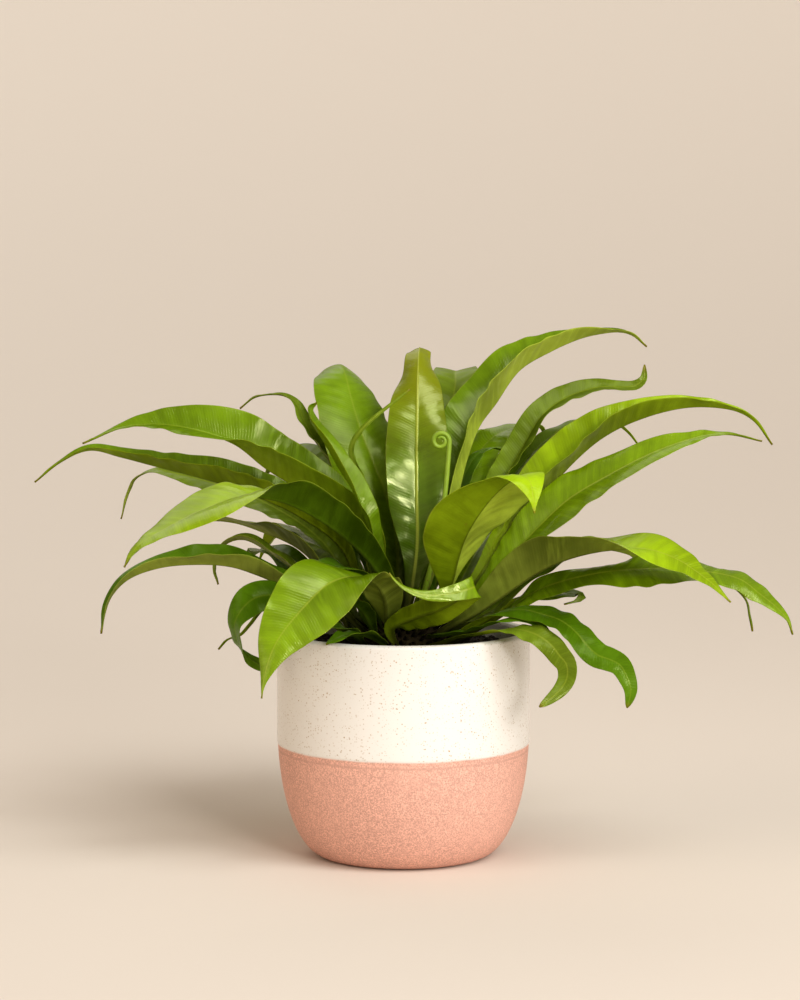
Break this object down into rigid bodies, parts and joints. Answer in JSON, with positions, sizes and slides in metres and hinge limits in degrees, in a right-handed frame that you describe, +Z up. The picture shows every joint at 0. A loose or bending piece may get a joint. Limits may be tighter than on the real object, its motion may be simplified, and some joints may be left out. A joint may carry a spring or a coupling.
{
  "type": "potted fern",
  "caption": "Bird's-nest fern, a rosette of broad wavy strap-shaped fronds around a short crown, growing in a round two-tone glazed ceramic pot with a small foot.",
  "frame": {"origin": "centre of the pot's flat base", "axes": "+Z up along the pot's axis, the front seen in the picture towards -Y, +X to its right"},
  "size_m": [0.4463, 0.3035, 0.3111],
  "materials": {
    "pot": "satin",
    "soil": "matte",
    "crown": "matte",
    "frond_bright": "satin",
    "frond_mid": "satin",
    "frond_dark": "satin",
    "frond_grey": "satin",
    "crozier": "satin"
  },
  "bodies": {
    "root": {"pot": "pot", "soil": "soil", "crown": "crown", "frond_left_high": "frond_mid", "frond_left_long": "frond_mid", "frond_left_back": "frond_grey", "frond_left_bright": "frond_bright", "frond_left_low": "frond_dark", "frond_left_grey": "frond_grey", "frond_left_tip": "frond_grey", "frond_left_twisted": "frond_dark", "frond_left_sprig": "frond_bright", "frond_left_shaded": "frond_dark", "frond_front_broad": "frond_bright", "frond_front_folded": "frond_bright", "frond_front_cupped": "frond_bright", "frond_right_tall": "frond_mid", "frond_right_curled": "frond_mid", "frond_right_long": "frond_bright", "frond_right_bright": "frond_bright", "frond_right_arched": "frond_bright", "frond_right_under": "frond_grey", "frond_right_wavy": "frond_bright", "frond_right_short": "frond_mid", "frond_right_drooping": "frond_mid", "frond_rim_drooping": "frond_mid", "frond_rim_dark": "frond_dark", "frond_right_tip": "frond_mid", "frond_right_pale": "frond_bright", "frond_right_dark": "frond_dark", "frond_right_behind": "frond_mid", "frond_centre_left": "frond_mid", "frond_centre": "frond_mid", "frond_centre_back": "frond_grey", "frond_centre_narrow": "frond_mid", "frond_back_left_arched": "frond_grey", "frond_centre_tendril": "frond_grey", "frond_back_low_1": "frond_mid", "frond_back_low_2": "frond_mid", "frond_back_low_3": "frond_dark", "frond_back_low_4": "frond_mid", "frond_back_low_5": "frond_dark", "frond_back_high_1": "frond_mid", "frond_back_high_2": "frond_bright", "frond_back_high_3": "frond_mid", "frond_front_low": "frond_dark", "frond_front_shaded": "frond_dark", "frond_left_inner": "frond_dark", "crozier": "crozier"}
  },
  "joints": []
}
